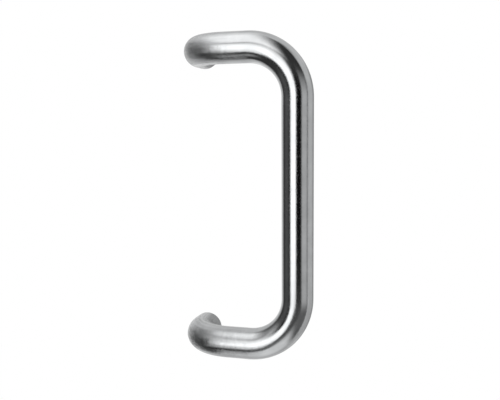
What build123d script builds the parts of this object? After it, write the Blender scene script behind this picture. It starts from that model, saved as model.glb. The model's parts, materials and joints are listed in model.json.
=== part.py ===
from build123d import *

import os

os.makedirs("parts", exist_ok=True)

# Cranked tubular pull handle for a door, in millimetres.
# The door face is the plane Y = 0 and the door lies on its +Y side. The two fixing holes are on the Z axis,
# one above and one below the origin. Each end of the tube leaves the door along -Y, turns sideways towards
# +X as an arm, and turns again into the upright grip.

# Tube stock: polished decorative stainless tube, 1 1/4 inch outside
tube_diameter = 31.8
tube_wall = 1.5

# Bends: straight lengths between tangent points, and radii of the tube's centre line
fixing_centres = 300.0
leg_straight = 12.0
door_bend_radius = 40.0
arm_straight = 24.0
grip_bend_radius = 50.0

# Tube ends: sawn square, with the outer edge of the rim bevelled
rim_bevel = 0.6

# Fixing inserts: turned plugs set flush in the tube's ends, drilled and tapped M8 right through
insert_fit_gap = 0.05
insert_short_of_bend = 2.0
thread_diameter = 8.0
thread_pitch = 1.25
countersink_over_thread = 0.3
countersink_angle = 120.0

# Worked out from the sizes above
tube_radius = tube_diameter / 2
bore_radius = tube_radius - tube_wall
foot_height = fixing_centres / 2
grip_standoff = leg_straight + door_bend_radius
crank_offset = door_bend_radius + arm_straight + grip_bend_radius
insert_radius = bore_radius - insert_fit_gap
insert_length = leg_straight - insert_short_of_bend
tap_drill_diameter = thread_diameter - thread_pitch
countersink_diameter = thread_diameter + countersink_over_thread


def foot_plane(height):
    """The end of the tube at this height, looking out of the tube into the door."""
    return Plane(origin=(0, 0, height), x_dir=(1, 0, 0), z_dir=(0, 1, 0))


# Bent tube: a ring section carried along the centre line from the upper foot to the middle of the grip, in two
# stretches so that each bend has its seam on the inside, and the lower half as its mirror image
with BuildPart() as handle_tube:
    with BuildLine() as centre_line:
        FilletPolyline(
            (0, 0, foot_height),
            (0, -grip_standoff, foot_height),
            (crank_offset, -grip_standoff, foot_height),
            (crank_offset, -grip_standoff, 0),
            radius=[door_bend_radius, grip_bend_radius],
        )
    leg, door_bend, arm, grip_bend, grip = centre_line.wire().order_edges()
    for stretch in (Wire([leg, door_bend, arm]), Wire([grip_bend, grip])):
        with BuildSketch(Plane(origin=stretch @ 0, x_dir=stretch % 1, z_dir=stretch % 0)):
            Circle(tube_radius)
            Circle(bore_radius, mode=Mode.SUBTRACT)
        sweep(path=stretch)
    mirror(about=Plane.XY)
    feet = handle_tube.faces().filter_by(Plane.XZ)
    rims = [foot.outer_wire().edge() for foot in feet]
    chamfer(rims, rim_bevel)
handle_tube.part.label = "handle_tube"
export_step(handle_tube.part, "parts/handle_tube.step")

# Fixing inserts: a plug with a countersunk tapping hole on its axis
for end, height in {"upper": foot_height, "lower": -foot_height}.items():
    with BuildPart() as fixing_insert:
        with BuildSketch(foot_plane(height)):
            Circle(insert_radius)
        extrude(amount=-insert_length)
        with Locations(foot_plane(height)):
            CounterSinkHole(
                radius=tap_drill_diameter / 2,
                counter_sink_radius=countersink_diameter / 2,
                counter_sink_angle=countersink_angle,
            )
    fixing_insert.part.label = f"{end}_fixing_insert"
    export_step(fixing_insert.part, f"parts/{end}_fixing_insert.step")
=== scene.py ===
"""Cranked tubular pull handle in satin stainless steel, with tapped fixing inserts in its two feet.

The bent tube and the inserts are grown by Geometry Nodes: the section of a wall is walked point by point
and wrapped round a centre line. Lengths are in metres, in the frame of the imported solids: +Z up along the
grip, +Y into the door, and the origin on the door face midway between the two fixing holes.
"""

import json
import math
from typing import NamedTuple

import bpy
from bpy.props import FloatProperty, FloatVectorProperty, IntProperty, PointerProperty
from bpy.types import Operator, Panel, PropertyGroup
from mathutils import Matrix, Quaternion, Vector


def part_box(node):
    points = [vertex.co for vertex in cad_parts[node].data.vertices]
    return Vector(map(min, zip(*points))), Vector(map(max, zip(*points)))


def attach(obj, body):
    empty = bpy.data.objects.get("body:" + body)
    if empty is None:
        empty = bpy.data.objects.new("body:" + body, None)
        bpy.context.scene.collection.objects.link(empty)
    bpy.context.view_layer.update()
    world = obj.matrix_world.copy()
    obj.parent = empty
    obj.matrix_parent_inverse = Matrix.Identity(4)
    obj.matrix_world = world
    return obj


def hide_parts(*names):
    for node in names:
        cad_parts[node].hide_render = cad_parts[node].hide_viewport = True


bl_info = {
    "name": "Cranked Pull Handle",
    "version": (1, 0, 0),
    "blender": (4, 5, 0),
    "location": "3D View > Sidebar > Pull Handle",
    "description": "Builds a tubular door pull handle in satin stainless steel, and a white studio for it",
    "category": "Add Mesh",
}

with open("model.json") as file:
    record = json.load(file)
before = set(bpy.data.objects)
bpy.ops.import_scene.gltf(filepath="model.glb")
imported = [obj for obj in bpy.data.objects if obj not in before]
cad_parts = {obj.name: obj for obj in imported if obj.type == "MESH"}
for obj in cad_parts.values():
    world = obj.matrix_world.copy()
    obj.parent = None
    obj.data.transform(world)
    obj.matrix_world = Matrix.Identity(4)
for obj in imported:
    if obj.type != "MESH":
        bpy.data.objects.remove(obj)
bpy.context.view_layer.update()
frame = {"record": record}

WRAP_MAP = "wrap"
FULL_TURN = 2 * math.pi


def measured(length, step=0.0001):
    """A length read off the facetted solids, to the nearest step."""
    return round(length / step) * step


def record_mount(name):
    """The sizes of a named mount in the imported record."""
    return next(mount for mount in frame["record"]["mounts"] if mount["name"] == name)["dims"]


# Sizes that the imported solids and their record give
FIXING = record_mount("door_fixing")
FIXING_CENTRES = FIXING["spacing_y_mm"] / 1000
TAP_RADIUS = FIXING["hole_r_mm"] / 1000
TUBE_LOW, TUBE_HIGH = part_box("handle_tube")
TUBE_RADIUS = measured(TUBE_HIGH.z - FIXING_CENTRES / 2)
CRANK_OFFSET = measured(TUBE_HIGH.x - TUBE_RADIUS)
GRIP_STANDOFF = measured(-TUBE_LOW.y - TUBE_RADIUS)
INSERT_LOW, INSERT_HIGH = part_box("upper_fixing_insert")
INSERT_RADIUS = measured((INSERT_HIGH.x - INSERT_LOW.x) / 2, step=0.00005)
INSERT_LENGTH = measured(INSERT_HIGH.y - INSERT_LOW.y)


class Wire:
    """An output socket of a node tree. Arithmetic with wires and numbers adds the Math nodes for it."""

    def __init__(self, tree, socket=None):
        self.tree = tree
        self.socket = socket

    def node(self, kind, settings=None, inputs=None, output=0):
        """Adds a node, applies its settings, fills or links its sockets and gives one of its outputs."""
        made = self.tree.nodes.new(kind)
        for name, value in (settings or {}).items():
            setattr(made, name, value)
        for key, value in (inputs or {}).items():
            if isinstance(value, Wire):
                self.tree.links.new(value.socket, made.inputs[key])
            else:
                made.inputs[key].default_value = value
        return Wire(self.tree, made.outputs[output] if made.outputs else None)

    def other(self, output):
        """Another output of the node that this wire comes from."""
        return Wire(self.tree, self.socket.node.outputs[output])

    def math(self, operation, *values):
        return self.node("ShaderNodeMath", {"operation": operation}, dict(enumerate((self, *values))))

    def __add__(self, value):
        return self.math("ADD", value)

    __radd__ = __add__

    def __sub__(self, value):
        return self.math("SUBTRACT", value)

    def __rsub__(self, value):
        return self * -1 + value

    def __mul__(self, value):
        return self.math("MULTIPLY", value)

    __rmul__ = __mul__

    def __truediv__(self, value):
        return self.math("DIVIDE", value)

    def clamp(self, low, high):
        return self.node("ShaderNodeClamp", inputs={"Value": self, "Min": low, "Max": high})

    def there_and_back(self):
        """Up from 0 to a half and down again, once for each whole number."""
        return self.math("PINGPONG", 0.5)

    def eased(self):
        """A value from 0 to 1, eased in and out."""
        return self * self * (3 - 2 * self)

    def vector(self, operation, value):
        return self.node("ShaderNodeVectorMath", {"operation": operation}, {0: self, 1: value})

    def scaled(self, amount):
        return self.node("ShaderNodeVectorMath", {"operation": "SCALE"}, {0: self, "Scale": amount})


def point(x, y, z):
    """A vector wire from three values, at least one of them a wire."""
    root = next(value for value in (x, y, z) if isinstance(value, Wire))
    return root.node("ShaderNodeCombineXYZ", inputs={"X": x, "Y": y, "Z": z})


# Geometry Nodes: a wall section wrapped round a centre line


def sized_tree(name, lengths, counts):
    """A new Geometry Nodes tree, and its inputs by name: a centre line, lengths, counts and a material."""
    tree = bpy.data.node_groups.new(name, "GeometryNodeTree")
    kinds = {"Centre Line": "NodeSocketGeometry", "Material": "NodeSocketMaterial"}
    kinds.update({length: "NodeSocketFloat" for length in lengths})
    kinds.update({count: "NodeSocketInt" for count in counts})
    for label, kind in kinds.items():
        tree.interface.new_socket(label, in_out="INPUT", socket_type=kind)
    tree.interface.new_socket("Skin", in_out="OUTPUT", socket_type="NodeSocketGeometry")
    group = Wire(tree).node("NodeGroupInput")
    return tree, {label: group.other(label) for label in kinds}


class SectionWalk:
    """A walk round a wall's section, one column of the skin for each step, repeated round the centre line.

    The walk starts at a distance along the centre line and a radius from it. Each leg is a number of steps,
    and how far they go along and out. The last leg ends where the walk started.
    """

    def __init__(self, root, facets, start, legs):
        index = root.node("GeometryNodeInputIndex")
        column = (index / (facets + 1)).math("FLOOR")
        self.facets = facets
        self.turn = (index - column * (facets + 1)) / facets
        self.along, self.radius = start
        self.columns = 0
        self.shares = []
        for steps, forward, outward in legs:
            share = (column - self.columns).clamp(0, steps) / steps
            self.along = share * forward + self.along
            self.radius = share * outward + self.radius
            self.columns = self.columns + steps
            self.shares.append(share)


# The skin's seam is half a turn from the path's normal, and is closed over this gap
SEAM_TURN = 0.5
SEAM_GAP = 0.000001

# Edges that turn by more than this stay sharp
SHARP_EDGE = math.radians(35)


def wrap_round(path, walk, material):
    """The closed skin of a section walk round a path, with its wrap map, ready for the tree's output."""
    counts = {"Vertices X": walk.columns + 1, "Vertices Y": walk.facets + 1}
    grid = path.node("GeometryNodeMeshGrid", inputs=counts)
    station = {"Curves": path, "Length": walk.along}
    middle = path.node("GeometryNodeSampleCurve", {"mode": "LENGTH"}, station, output="Position")
    normal = middle.other("Normal")
    side = normal.vector("CROSS_PRODUCT", middle.other("Tangent"))
    angle = (walk.turn + SEAM_TURN) * FULL_TURN
    spoke = normal.scaled(angle.math("COSINE") * walk.radius)
    spoke = spoke.vector("ADD", side.scaled(angle.math("SINE") * walk.radius))
    placed = {"Geometry": grid, "Position": middle.vector("ADD", spoke)}
    skin = path.node("GeometryNodeSetPosition", inputs=placed)

    # Along and radius together, so that the map also runs across faces that are square to the path
    wrap = point(walk.along + walk.radius, walk.turn, 0)
    per_point = {"data_type": "FLOAT_VECTOR", "domain": "POINT"}
    wrap = path.node("GeometryNodeFieldOnDomain", per_point, {"Value": wrap})
    per_corner = {"data_type": "FLOAT2", "domain": "CORNER"}
    stored = {"Geometry": skin, "Name": WRAP_MAP, "Value": wrap}
    skin = path.node("GeometryNodeStoreNamedAttribute", per_corner, stored)

    skin = path.node("GeometryNodeMergeByDistance", inputs={"Geometry": skin, "Distance": SEAM_GAP})
    faces = {"Geometry": skin, "Shade Smooth": True}
    skin = path.node("GeometryNodeSetShadeSmooth", {"domain": "FACE"}, faces)
    sharp = path.node("GeometryNodeInputMeshEdgeAngle").math("GREATER_THAN", SHARP_EDGE)
    edges = {"Geometry": skin, "Selection": sharp, "Shade Smooth": False}
    skin = path.node("GeometryNodeSetShadeSmooth", {"domain": "EDGE"}, edges)
    skin = path.node("GeometryNodeRealizeInstances", inputs={"Geometry": skin})
    return path.node("GeometryNodeSetMaterial", inputs={"Geometry": skin, "Material": material})


TUBE_CORNERS = 6


def bent_tube_tree():
    """A tube with bevelled rims, bent along a centre line whose first and last corners are the feet."""
    lengths = ("Tube Radius", "Wall", "Rim Bevel", "Door Bend Radius", "Grip Bend Radius")
    tree, given = sized_tree("bent_tube", lengths, ("Bend Steps", "Rings", "Bore Rings", "Facets"))
    root = Wire(tree)

    # The middle two of the corners are the grip's, and their neighbours are at the door
    from_middle = (root.node("GeometryNodeInputIndex") - (TUBE_CORNERS - 1) / 2).math("ABSOLUTE")
    at_door = from_middle.math("GREATER_THAN", 1)
    grip_bend = given["Grip Bend Radius"]
    bend = grip_bend + at_door * (given["Door Bend Radius"] - grip_bend)
    corners = root.node("GeometryNodeMeshToCurve", inputs={"Mesh": given["Centre Line"]})
    bends = {"Curve": corners, "Count": given["Bend Steps"], "Radius": bend}
    path = root.node("GeometryNodeFilletCurve", {"mode": "POLY"}, bends)
    length = root.node("GeometryNodeCurveLength", inputs={"Curve": path})

    bevel = given["Rim Bevel"]
    rim = given["Wall"] - bevel
    outside = (given["Rings"], length - 2 * bevel, 0)
    bore = (given["Bore Rings"], length * -1, 0)
    legs = (outside, (1, bevel, bevel * -1), (1, 0, rim * -1), bore, (1, 0, rim), (1, bevel, bevel))
    walk = SectionWalk(root, given["Facets"], (bevel, given["Tube Radius"]), legs)
    root.node("NodeGroupOutput", inputs={"Skin": wrap_round(path, walk, given["Material"])})
    return tree


# Share of each pitch that is flat at the thread's crest, and again at its root
THREAD_FLAT = 0.1


def fixing_insert_tree():
    """A turned plug round a straight centre line, with a countersunk hole that is tapped right through."""
    radii = ("Insert Radius", "Tap Radius", "Mouth Radius")
    depths = ("Countersink Depth", "Thread Pitch", "Thread Depth")
    tree, given = sized_tree("fixing_insert", radii + depths, ("Thread Columns", "Facets"))
    root = Wire(tree)
    path = root.node("GeometryNodeMeshToCurve", inputs={"Mesh": given["Centre Line"]})
    length = root.node("GeometryNodeCurveLength", inputs={"Curve": path})

    plug, tap, mouth = given["Insert Radius"], given["Tap Radius"], given["Mouth Radius"]
    sunk = given["Countersink Depth"]
    tapped = (given["Thread Columns"], sunk - length, 0)
    legs = ((1, 0, plug - mouth), (1, length, 0), (1, 0, tap - plug), tapped, (1, sunk * -1, mouth - tap))
    walk = SectionWalk(root, given["Facets"], (0, mouth), legs)

    # A right-hand thread, which runs out at both ends of the tapped length
    ridge = (walk.along / given["Thread Pitch"] + walk.turn).there_and_back() * 2
    groove = ((ridge - THREAD_FLAT) / (1 - 2 * THREAD_FLAT)).clamp(0, 1)
    tapped_share = walk.shares[legs.index(tapped)]
    run_out = (tapped_share.there_and_back() * length / given["Thread Pitch"]).clamp(0, 1)
    walk.radius = walk.radius + groove * run_out * given["Thread Depth"]
    root.node("NodeGroupOutput", inputs={"Skin": wrap_round(path, walk, given["Material"])})
    return tree


def grow(name, tree, corners, values):
    """The plain mesh object that a tree makes of a line of corners, with its inputs set by name."""
    line = bpy.data.meshes.new(name)
    line.from_pydata(corners, [(i, i + 1) for i in range(len(corners) - 1)], [])
    piece = bpy.data.objects.new(name, line)
    bpy.context.scene.collection.objects.link(piece)
    modifier = piece.modifiers.new(tree.name, "NODES")
    modifier.node_group = tree
    for socket in tree.interface.items_tree:
        if socket.in_out == "INPUT" and socket.name in values:
            modifier[socket.identifier] = values[socket.name]
    depsgraph = bpy.context.evaluated_depsgraph_get()
    grown = piece.evaluated_get(depsgraph)
    solid = bpy.data.meshes.new_from_object(grown, preserve_all_data_layers=True, depsgraph=depsgraph)
    if not solid.polygons:
        raise RuntimeError(f"{name} came out empty")
    piece.modifiers.remove(modifier)
    piece.data = solid
    bpy.data.meshes.remove(line)
    solid.name = name
    return piece


# Finishes

NOISE_MIDDLE = 0.5
NOISE_ROUGHNESS = 0.55

# How far grain and patches change the roughness of the tube's polish, and how far its lines do
POLISH_SPREAD = 0.04
LINE_GLOSS = 0.2

# The power by which the lower arm's grain eases off towards the grip
LOWER_EASE = 2.5

# The tool marks' share in the inserts' colour, and how far they change the inserts' roughness
MARK_SHARE = 0.6
MARK_SPREAD = 0.2


class Reach(NamedTuple):
    """Distances along the tube from the door, at either end, and the length of the whole tube."""

    door_bend_middle: float
    arm_end: float
    grip_start: float
    length: float


def tube_reach(sizes):
    """How far along the tube its bends and arms are."""
    quarter = math.pi / 2
    leg = sizes.grip_standoff - sizes.door_bend_radius
    arm = sizes.crank_offset - sizes.door_bend_radius - sizes.grip_bend_radius
    arm_end = leg + quarter * sizes.door_bend_radius + arm
    grip_start = arm_end + quarter * sizes.grip_bend_radius
    grip = sizes.fixing_centres - 2 * sizes.grip_bend_radius
    return Reach(leg + quarter / 2 * sizes.door_bend_radius, arm_end, grip_start, 2 * grip_start + grip)


def finish_root(name):
    """A new material and the wire that its nodes start from."""
    material = bpy.data.materials.new(name)
    material.use_nodes = True
    material.node_tree.nodes.clear()
    return material, Wire(material.node_tree)


def wrap_place(root):
    """A point's two values on the wrap map: along and round a tube, or across and up a card."""
    wrap = root.node("ShaderNodeUVMap", {"uv_map": WRAP_MAP})
    first = root.node("ShaderNodeSeparateXYZ", inputs={"Vector": wrap})
    return first, first.other("Y")


def wrapped_noise(root, spacing, streak, radius, detail):
    """Noise on a wrap map: lines this far apart along it, which run this far round it before they fade."""
    along, turn = wrap_place(root)
    angle = turn * FULL_TURN
    round_scale = radius / streak
    place = point(along / spacing, angle.math("COSINE") * round_scale, angle.math("SINE") * round_scale)
    noise = {"Vector": place, "Scale": 1, "Detail": detail, "Roughness": NOISE_ROUGHNESS}
    return root.node("ShaderNodeTexNoise", inputs=noise)


def metal_surface(root, colour, roughness, height):
    """Bare metal whose colour, roughness and relief in metres come from its grain."""
    bump = root.node("ShaderNodeBump", inputs={"Strength": 1, "Distance": 1, "Height": height})
    surface = {"Base Color": colour, "Metallic": 1, "Roughness": roughness, "Normal": bump}
    metal = root.node("ShaderNodeBsdfPrincipled", inputs=surface)
    root.node("ShaderNodeOutputMaterial", inputs={"Surface": metal})


def blend_colours(root, share, first, second):
    """A colour between two others."""
    # The node's factor and colours go by number, because its sockets for other kinds have the same names
    sockets = {0: share, 6: (*first, 1), 7: (*second, 1)}
    return root.node("ShaderNodeMix", {"data_type": "RGBA"}, sockets, output=2)


def satin_stainless(finish, sizes):
    """Tube polished on a belt that went round it: a fine grain across the tube, over soft patches.

    The grain is deepest halfway round the bends at the door. From there it eases off to the feet, to the
    end of the upper arm and to the lower end of the grip. Lines run along the tube from each foot until the
    grain is even.
    """
    material, root = finish_root("satin_stainless")
    radius = sizes.tube_radius
    grain = wrapped_noise(root, finish.grain_spacing, finish.grain_length, radius, detail=3)
    cloud = wrapped_noise(root, finish.cloud_size, finish.cloud_size, radius, detail=2)
    lines = wrapped_noise(root, finish.line_length, finish.line_spacing, radius, detail=2)

    reach = tube_reach(sizes)
    # How far along the outside of the tube a point is from the upper foot
    along = wrap_place(root)[0] - radius
    upper = ((along - reach.door_bend_middle) / (reach.arm_end - reach.door_bend_middle)).clamp(0, 1)
    lower = (reach.length - along - reach.door_bend_middle) / (reach.grip_start - reach.door_bend_middle)
    even = upper.eased() * (1 - (1 - lower.clamp(0, 1)).math("POWER", LOWER_EASE))

    grain_swing = grain - NOISE_MIDDLE
    cloud_swing = cloud - NOISE_MIDDLE
    line_swing = (lines - NOISE_MIDDLE) * (1 - even)
    tone = NOISE_MIDDLE + grain_swing * finish.grain_contrast + cloud_swing * finish.cloud_contrast
    tone = tone + line_swing * finish.line_contrast
    colour = blend_colours(root, tone, finish.steel_shade, finish.steel_light)
    roughness = finish.bend_roughness + even * (finish.tube_roughness - finish.bend_roughness)
    roughness = roughness + (grain_swing + cloud_swing) * POLISH_SPREAD - line_swing * LINE_GLOSS

    from_foot = (along.math("MINIMUM", reach.length - along) / reach.door_bend_middle).clamp(0, 1)
    bend_depth = finish.bend_grain_depth * (finish.foot_share + (1 - finish.foot_share) * from_foot)
    depth = bend_depth + even * (finish.grain_depth - bend_depth)
    metal_surface(root, colour, roughness, grain * depth + line_swing * finish.line_depth)
    return material


def turned_steel(finish):
    """Steel faced on a lathe: rings that follow the tool, all round."""
    material, root = finish_root("turned_steel")
    rings = wrapped_noise(root, finish.tool_mark_spacing, math.inf, INSERT_RADIUS, detail=2)
    cloud = wrapped_noise(root, finish.cloud_size, finish.cloud_size, INSERT_RADIUS, detail=2)
    tone = rings * MARK_SHARE + cloud * (1 - MARK_SHARE)
    colour = blend_colours(root, tone, finish.insert_shade, finish.insert_light)
    uneven = rings - NOISE_MIDDLE + (cloud - NOISE_MIDDLE) / 2
    roughness = finish.insert_roughness + uneven * MARK_SPREAD
    metal_surface(root, colour, roughness, rings * finish.tool_mark_depth)
    return material


# Sizes and colours that a user would change


class HandleSizes(PropertyGroup):
    """Sizes of the tube and its inserts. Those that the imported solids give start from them."""

    fixing_centres: FloatProperty(
        name="Fixing Centres",
        description="Height between the two fixing holes",
        default=FIXING_CENTRES,
        unit="LENGTH",
    )
    tube_radius: FloatProperty(
        name="Tube Radius", description="Outside radius of the tube", default=TUBE_RADIUS, unit="LENGTH"
    )
    tube_wall: FloatProperty(
        name="Tube Wall", description="Thickness of the tube's wall", default=0.0015, unit="LENGTH"
    )
    rim_bevel: FloatProperty(
        name="Rim Bevel", description="Bevel on the outer edge of each foot", default=0.0006, unit="LENGTH"
    )
    grip_standoff: FloatProperty(
        name="Grip Standoff",
        description="Distance from the door face to the grip's centre line",
        default=GRIP_STANDOFF,
        unit="LENGTH",
    )
    crank_offset: FloatProperty(
        name="Crank Offset",
        description="Distance sideways from the fixing holes to the grip's centre line",
        default=CRANK_OFFSET,
        unit="LENGTH",
    )
    door_bend_radius: FloatProperty(
        name="Door Bend Radius",
        description="Radius of the centre line where a foot turns into its arm",
        default=0.040,
        unit="LENGTH",
    )
    grip_bend_radius: FloatProperty(
        name="Grip Bend Radius",
        description="Radius of the centre line where an arm turns into the grip",
        default=0.050,
        unit="LENGTH",
    )
    insert_radius: FloatProperty(
        name="Insert Radius", description="Radius of a fixing insert", default=INSERT_RADIUS, unit="LENGTH"
    )
    insert_length: FloatProperty(
        name="Insert Length", description="Depth of a fixing insert", default=INSERT_LENGTH, unit="LENGTH"
    )
    tap_radius: FloatProperty(
        name="Tap Radius",
        description="Radius of the hole before it is tapped",
        default=TAP_RADIUS,
        unit="LENGTH",
    )
    mouth_radius: FloatProperty(
        name="Mouth Radius",
        description="Radius of the countersink at the face",
        default=0.00415,
        unit="LENGTH",
    )
    mouth_angle: FloatProperty(
        name="Mouth Angle",
        description="Angle across the countersink",
        default=math.radians(120),
        subtype="ANGLE",
    )
    thread_pitch: FloatProperty(
        name="Thread Pitch", description="Rise of the thread in one turn", default=0.00125, unit="LENGTH"
    )
    thread_depth: FloatProperty(
        name="Thread Depth", description="Depth of the thread's groove", default=0.000625, unit="LENGTH"
    )
    facets: IntProperty(
        name="Facets", description="Faces round the tube and the inserts", default=112, min=12
    )
    bend_steps: IntProperty(name="Bend Steps", description="Points on each bend", default=64, min=4)
    rings: IntProperty(name="Rings", description="Faces along the outside of the tube", default=300, min=40)
    bore_rings: IntProperty(name="Bore Rings", description="Faces along the bore", default=150, min=40)
    thread_columns: IntProperty(
        name="Thread Columns", description="Faces along the tapped length", default=96, min=12
    )


class HandleFinish(PropertyGroup):
    """Colours and grain of the two steels."""

    steel_light: FloatVectorProperty(
        name="Steel Light",
        description="Colour of the polished tube at its brightest",
        default=(0.64, 0.65, 0.657),
        subtype="COLOR",
        min=0,
        max=1,
    )
    steel_shade: FloatVectorProperty(
        name="Steel Shade",
        description="Colour of the polished tube at its darkest",
        default=(0.51, 0.52, 0.526),
        subtype="COLOR",
        min=0,
        max=1,
    )
    tube_roughness: FloatProperty(
        name="Tube Roughness", description="Roughness of the grip's polish", default=0.125, subtype="FACTOR"
    )
    bend_roughness: FloatProperty(
        name="Bend Roughness",
        description="Roughness of the polish from the feet to the bends at the door",
        default=0.2,
        subtype="FACTOR",
    )
    line_length: FloatProperty(
        name="Line Length", description="Length of the lines along the tube", default=0.06, unit="LENGTH"
    )
    line_spacing: FloatProperty(
        name="Line Spacing",
        description="Distance between the lines, round the tube",
        default=0.003,
        unit="LENGTH",
    )
    line_depth: FloatProperty(
        name="Line Depth", description="Depth of the lines along the tube", default=0.00004, unit="LENGTH"
    )
    line_contrast: FloatProperty(
        name="Line Contrast", description="How far the lines change the steel's colour", default=3.5
    )
    grain_spacing: FloatProperty(
        name="Grain Spacing", description="Distance between grain lines", default=0.00006, unit="LENGTH"
    )
    grain_length: FloatProperty(
        name="Grain Length",
        description="Length of a grain line, round the tube",
        default=0.015,
        unit="LENGTH",
    )
    grain_depth: FloatProperty(
        name="Grain Depth", description="Depth of the grain on the grip", default=0.000025, unit="LENGTH"
    )
    bend_grain_depth: FloatProperty(
        name="Bend Grain Depth",
        description="Depth of the grain at the bends by the door",
        default=0.00016,
        unit="LENGTH",
    )
    foot_share: FloatProperty(
        name="Foot Share",
        description="Share of the bends' depth of grain that is left at the feet",
        default=0.3,
        subtype="FACTOR",
    )
    grain_contrast: FloatProperty(
        name="Grain Contrast", description="How far the grain changes the steel's colour", default=0.8
    )
    cloud_contrast: FloatProperty(
        name="Cloud Contrast", description="How far the soft patches change the steel's colour", default=1.6
    )
    cloud_size: FloatProperty(
        name="Cloud Size", description="Size of the polish's soft patches", default=0.016, unit="LENGTH"
    )
    insert_light: FloatVectorProperty(
        name="Insert Light",
        description="Colour of the turned inserts at their brightest",
        default=(0.58, 0.575, 0.56),
        subtype="COLOR",
        min=0,
        max=1,
    )
    insert_shade: FloatVectorProperty(
        name="Insert Shade",
        description="Colour of the turned inserts in their tool marks",
        default=(0.44, 0.435, 0.425),
        subtype="COLOR",
        min=0,
        max=1,
    )
    insert_roughness: FloatProperty(
        name="Insert Roughness",
        description="Roughness of the turned inserts",
        default=0.34,
        subtype="FACTOR",
    )
    tool_mark_spacing: FloatProperty(
        name="Tool Mark Spacing", description="Distance between tool marks", default=0.00022, unit="LENGTH"
    )
    tool_mark_depth: FloatProperty(
        name="Tool Mark Depth", description="Depth of the tool marks", default=0.000008, unit="LENGTH"
    )


class HandleStudio(PropertyGroup):
    """Where the camera stands, and the floor below the handle."""

    camera_azimuth: FloatProperty(
        name="Camera Azimuth",
        description="Camera's turn from straight in front towards the grip's side",
        default=math.radians(16.585),
        subtype="ANGLE",
    )
    camera_elevation: FloatProperty(
        name="Camera Elevation",
        description="Camera's height above the horizon",
        default=math.radians(5.395),
        subtype="ANGLE",
    )
    camera_roll: FloatProperty(
        name="Camera Roll",
        description="Camera's tilt about its own axis",
        default=math.radians(-0.304),
        subtype="ANGLE",
    )
    camera_distance: FloatProperty(
        name="Camera Distance",
        description="Distance from the camera to what it looks at",
        default=0.7632,
        unit="LENGTH",
    )
    camera_lens: FloatProperty(
        name="Camera Lens", description="Focal length on a 36 mm wide sensor", default=52.59, unit="CAMERA"
    )
    aim_side: FloatProperty(
        name="Aim Side",
        description="How far sideways of the handle's middle the camera looks",
        default=0.00017,
        unit="LENGTH",
    )
    aim_drop: FloatProperty(
        name="Aim Drop",
        description="How far below the handle's middle the camera looks",
        default=0.00455,
        unit="LENGTH",
    )
    floor_drop: FloatProperty(
        name="Floor Drop",
        description="Height of the handle's middle above the floor",
        default=2.3,
        unit="LENGTH",
    )
    floor_size: FloatProperty(
        name="Floor Size", description="Width of the floor", default=12.0, unit="LENGTH"
    )
    floor_colour: FloatVectorProperty(
        name="Floor Colour",
        description="Colour of the floor",
        default=(1, 1, 1),
        subtype="COLOR",
        min=0,
        max=1,
    )


# Pieces


def put_in_frame(piece, node):
    """Hangs a finished piece on the handle's one body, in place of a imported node."""
    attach(piece, "root")
    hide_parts(node)


class PULLHANDLE_OT_tube(Operator):
    """Bend the tube from the upper foot, over the arms and the grip, to the lower foot"""

    bl_idname = "pull_handle.tube"
    bl_label = "Bend Tube"

    def execute(self, context):
        sizes = context.scene.pull_handle_sizes
        finish = context.scene.pull_handle_finish
        top = sizes.fixing_centres / 2
        out = -sizes.grip_standoff
        across = sizes.crank_offset
        upper = [(0, 0, top), (0, out, top), (across, out, top)]
        lower = [(x, y, -z) for x, y, z in reversed(upper)]
        values = {
            "Tube Radius": sizes.tube_radius,
            "Wall": sizes.tube_wall,
            "Rim Bevel": sizes.rim_bevel,
            "Door Bend Radius": sizes.door_bend_radius,
            "Grip Bend Radius": sizes.grip_bend_radius,
            "Bend Steps": sizes.bend_steps,
            "Rings": sizes.rings,
            "Bore Rings": sizes.bore_rings,
            "Facets": sizes.facets,
            "Material": satin_stainless(finish, sizes),
        }
        tube = grow("bent_tube", bent_tube_tree(), upper + lower, values)
        put_in_frame(tube, "handle_tube")
        return {"FINISHED"}


class PULLHANDLE_OT_inserts(Operator):
    """Turn and tap the two fixing inserts and set them flush in the tube's feet"""

    bl_idname = "pull_handle.inserts"
    bl_label = "Set Fixing Inserts"

    def execute(self, context):
        sizes = context.scene.pull_handle_sizes
        tree = fixing_insert_tree()
        sunk = (sizes.mouth_radius - sizes.tap_radius) / math.tan(sizes.mouth_angle / 2)
        values = {
            "Insert Radius": sizes.insert_radius,
            "Tap Radius": sizes.tap_radius,
            "Mouth Radius": sizes.mouth_radius,
            "Countersink Depth": sunk,
            "Thread Pitch": sizes.thread_pitch,
            "Thread Depth": sizes.thread_depth,
            "Thread Columns": sizes.thread_columns,
            "Facets": sizes.facets,
            "Material": turned_steel(context.scene.pull_handle_finish),
        }
        top = sizes.fixing_centres / 2
        for end, height in (("upper", top), ("lower", -top)):
            line = [(0, 0, height), (0, -sizes.insert_length, height)]
            insert = grow(f"{end}_threaded_insert", tree, line, values)
            put_in_frame(insert, f"{end}_fixing_insert")
        return {"FINISHED"}


# Studio


class Card(NamedTuple):
    """A card that the steel reflects.

    It has the limits of its sides and ends, its soft edges inside them, its brightness, how far it leans
    sideways from end to end, and how much nearer it stands than its turn in the row. A curved card's limits
    are in degrees as seen from the grip, with azimuth 0 straight in front.
    """

    sides: tuple
    ends: tuple
    soft_sides: tuple
    soft_ends: tuple
    brightness: float
    lean: float = 0
    nearer: float = 0


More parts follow.
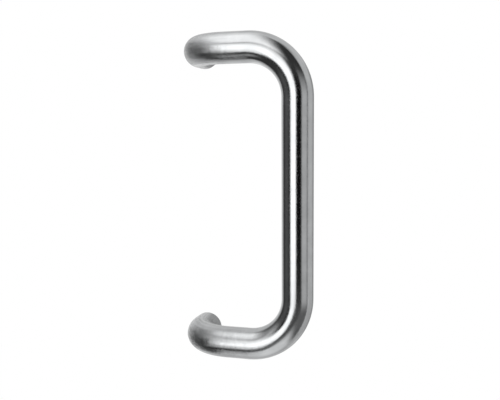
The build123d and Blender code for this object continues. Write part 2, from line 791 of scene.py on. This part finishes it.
# Curved cards round the grip, in a row from the furthest
CARDS = {
    "dark_room": Card((-180, 180), (-89, 89), (1, 1), (1, 1), 0.045),
    "back_wall": Card((105, 258), (-78, 89), (15, 20), (25, 12), 0.68),
    "back_flag": Card((138, 200), (-45, 32), (10, 14), (15, 16), 0.36),
    "back_softbox": Card((196, 230), (-42, 8), (12, 12), (12, 15), 0.95),
    "right_wall": Card((87, 142), (-72, 82), (4, 20), (20, 40), 0.66),
    "low_wall": Card((98, 150), (-70, -8), (10, 20), (15, 16), 0.52),
    "low_shade": Card((2, 95), (-66, -14), (12, 6), (16, 14), 0.15),
    "left_wall": Card((-102, -50), (-22, 12), (24, 12), (8, 8), 0.1),
    "left_board": Card((-118, 10), (4, 50), (95, 14), (16, 12), 0.90),
    "right_board": Card((39, 84), (-30, 40), (4, 2), (18, 34), 0.60),
    "camera_gap": Card((6, 40), (-20, 24), (2, 3), (8, 12), 0.006),
    "front_flag": Card((-80, 0), (22, 36), (15, 50), (6, 6), 0.3, nearer=0.7),
    "low_softbox": Card((-39, 2), (-38, -4), (3, 3), (12, 8), 1.45),
    "low_flag": Card((-2, 50), (-38, -14), (6, 6), (8, 5), 0.09, lean=0.6),
    "key_softbox": Card((-39, 1), (-20, 32), (2, 2), (8, 26), 1.8),
}
# How far the first of them is from the grip, how much nearer each next one is, and the faces along a side
CARD_DISTANCE = 2.1
CARD_SPACING = 0.02
CARD_STEPS = 32

# Flat boards and their heights. Their sides, their front and back, and their soft edges are in metres
BOARDS = {
    "ceiling_board": (0.5, Card((-0.64, 0.21), (-0.8, 0.19), (0.38, 0.27), (0.25, 0.33), 1.45, -0.2)),
    "grey_board": (-0.22, Card((-0.22, -0.03), (-0.37, -0.12), (0.12, 0.05), (0.12, 0.1), 0.44)),
    "black_paper": (-0.53, Card((-0.75, -0.2), (-0.62, -0.34), (0.05, 0.06), (0.1, 0.06), 0.02, -0.6)),
    "white_paper": (-0.54, Card((-0.1, 0.4), (-0.8, 0.25), (0.15, 0.2), (0.5, 0.4), 0.95, -0.1)),
    "grey_paper": (-0.55, Card((-0.16, 0.3), (-0.8, 0.25), (0.05, 0.2), (0.5, 0.4), 0.75, -0.1)),
}


def direction(azimuth, elevation):
    """Unit vector from the handle, with azimuth 0 straight in front and turning towards the grip's side."""
    level = math.cos(elevation)
    return Vector((math.sin(azimuth) * level, -math.cos(azimuth) * level, math.sin(elevation)))


def between(limits, share):
    """A value this share of the way from the first of two limits to the second."""
    return limits[0] + share * (limits[1] - limits[0])


def soft_edge(place, limits, soft):
    """A share that rises from 0 to 1 inside each of two limits, over the soft width there."""
    width = limits[1] - limits[0]
    first = (place * (width / soft[0])).clamp(0, 1)
    second = ((1 - place) * (width / soft[1])).clamp(0, 1)
    return first.eased() * second.eased()


def card_light(name, card):
    """Even light that fades out at the card's sides and ends."""
    material, root = finish_root(name)
    across, up = wrap_place(root)
    cover = soft_edge(across, card.sides, card.soft_sides) * soft_edge(up, card.ends, card.soft_ends)
    light = root.node("ShaderNodeEmission", inputs={"Strength": card.brightness})
    clear = root.node("ShaderNodeBsdfTransparent")
    mixed = root.node("ShaderNodeMixShader", inputs={0: cover, 1: clear, 2: light})
    root.node("ShaderNodeOutputMaterial", inputs={"Surface": mixed})
    # The steel's own rays find the cards, so that a near card hides what is behind it
    material.cycles.emission_sampling = "NONE"
    return material


def studio_card(name, card, place):
    """A card whose points the place function gives, seen only in reflections."""
    shares = [i / CARD_STEPS for i in range(CARD_STEPS + 1)]
    steps = [(across, up) for up in shares for across in shares]
    row = len(shares)
    corners = [j * row + i for j in range(CARD_STEPS) for i in range(CARD_STEPS)]
    mesh = bpy.data.meshes.new(name)
    points = []
    for across, up in steps:
        side, end = between(card.sides, across), between(card.ends, up)
        points.append(place(side + card.lean * end, end))
    mesh.from_pydata(points, [], [(k, k + 1, k + row + 1, k + row) for k in corners])
    layer = mesh.uv_layers.new(name=WRAP_MAP)
    for loop in mesh.loops:
        layer.data[loop.index].uv = steps[loop.vertex_index]
    mesh.materials.append(card_light(name, card))
    made = bpy.data.objects.new(name, mesh)
    bpy.context.scene.collection.objects.link(made)
    made.visible_camera = False
    made.visible_diffuse = False
    made.visible_shadow = False


def round_place(centre, distance):
    """A function that gives the point this far from a centre in a direction, in degrees."""

    def place(azimuth, elevation):
        return centre + distance * direction(math.radians(azimuth), math.radians(elevation))

    return place


def flat_place(height):
    """A function that gives the point at this height above or below a place on the level."""
    return lambda x, y: Vector((x, y, height))


def studio_cards(sizes):
    """The curved cards round the grip, and the flat boards above and below."""
    grip = Vector((sizes.crank_offset, -sizes.grip_standoff, 0))
    for order, (name, card) in enumerate(CARDS.items()):
        studio_card(name, card, round_place(grip, CARD_DISTANCE - order * CARD_SPACING - card.nearer))
    for name, (height, board) in BOARDS.items():
        studio_card(name, board, flat_place(height))


def studio_floor(studio):
    """A white floor well below the handle."""
    material, root = finish_root("studio_floor")
    surface = root.node("ShaderNodeBsdfDiffuse", inputs={"Color": (*studio.floor_colour, 1)})
    root.node("ShaderNodeOutputMaterial", inputs={"Surface": surface})
    half = studio.floor_size / 2
    corners = [(-half, -half), (half, -half), (half, half), (-half, half)]
    mesh = bpy.data.meshes.new("studio_floor")
    mesh.from_pydata([(x, y, -studio.floor_drop) for x, y in corners], [], [(0, 1, 2, 3)])
    mesh.materials.append(material)
    floor = bpy.data.objects.new("studio_floor", mesh)
    bpy.context.scene.collection.objects.link(floor)


def studio_world():
    """Plain white all round, at the level where a colour looks as it is written."""
    world = bpy.data.worlds.new("studio_white")
    world.use_nodes = True
    world.node_tree.nodes.clear()
    root = Wire(world.node_tree)
    white = root.node("ShaderNodeBackground", inputs={"Color": (1, 1, 1, 1), "Strength": 1})
    root.node("ShaderNodeOutputWorld", inputs={"Surface": white})
    # Found by the steel's own rays too, so that the cards hide it
    world.cycles.sampling_method = "NONE"
    bpy.context.scene.world = world


def studio_camera(sizes, studio):
    """A camera a little to the grip's side of the handle and a little above its middle."""
    lens = bpy.data.cameras.new("camera")
    lens.lens = studio.camera_lens
    camera = bpy.data.objects.new("camera", lens)
    bpy.context.scene.collection.objects.link(camera)
    aim = Vector((sizes.crank_offset / 2 + studio.aim_side, -sizes.grip_standoff / 2, -studio.aim_drop))
    back = direction(studio.camera_azimuth, studio.camera_elevation)
    camera.location = aim + back * studio.camera_distance
    camera.rotation_mode = "QUATERNION"
    level = (-back).to_track_quat("-Z", "Y")
    camera.rotation_quaternion = level @ Quaternion((0, 0, 1), studio.camera_roll)
    bpy.context.scene.camera = camera


class PULLHANDLE_OT_studio(Operator):
    """Set up the white studio, its cards and the camera"""

    bl_idname = "pull_handle.studio"
    bl_label = "Set Up Studio"

    def execute(self, context):
        studio = context.scene.pull_handle_studio
        context.scene.view_settings.view_transform = "Standard"
        studio_world()
        studio_floor(studio)
        sizes = context.scene.pull_handle_sizes
        studio_cards(sizes)
        studio_camera(sizes, studio)
        return {"FINISHED"}


OPERATORS = (PULLHANDLE_OT_tube, PULLHANDLE_OT_inserts, PULLHANDLE_OT_studio)


class PULLHANDLE_PT_panel(Panel):
    """Steps and sizes of the pull handle"""

    bl_idname = "PULLHANDLE_PT_panel"
    bl_label = "Pull Handle"
    bl_space_type = "VIEW_3D"
    bl_region_type = "UI"
    bl_category = "Pull Handle"

    def draw(self, context):
        for operator in OPERATORS:
            self.layout.operator(operator.bl_idname)
        scene = context.scene
        for group in (scene.pull_handle_sizes, scene.pull_handle_finish, scene.pull_handle_studio):
            box = self.layout.box()
            for name in group.bl_rna.properties.keys():
                if name not in PropertyGroup.bl_rna.properties.keys():
                    box.prop(group, name)


GROUPS = {
    "pull_handle_sizes": HandleSizes,
    "pull_handle_finish": HandleFinish,
    "pull_handle_studio": HandleStudio,
}
CLASSES = (*GROUPS.values(), *OPERATORS, PULLHANDLE_PT_panel)


def register():
    for cls in CLASSES:
        bpy.utils.register_class(cls)
    for name, group in GROUPS.items():
        setattr(bpy.types.Scene, name, PointerProperty(type=group))


def unregister():
    for name in GROUPS:
        delattr(bpy.types.Scene, name)
    for cls in reversed(CLASSES):
        bpy.utils.unregister_class(cls)


def main():
    register()
    bpy.ops.pull_handle.tube()
    bpy.ops.pull_handle.inserts()
    bpy.ops.pull_handle.studio()


if __name__ == "__main__":
    main()
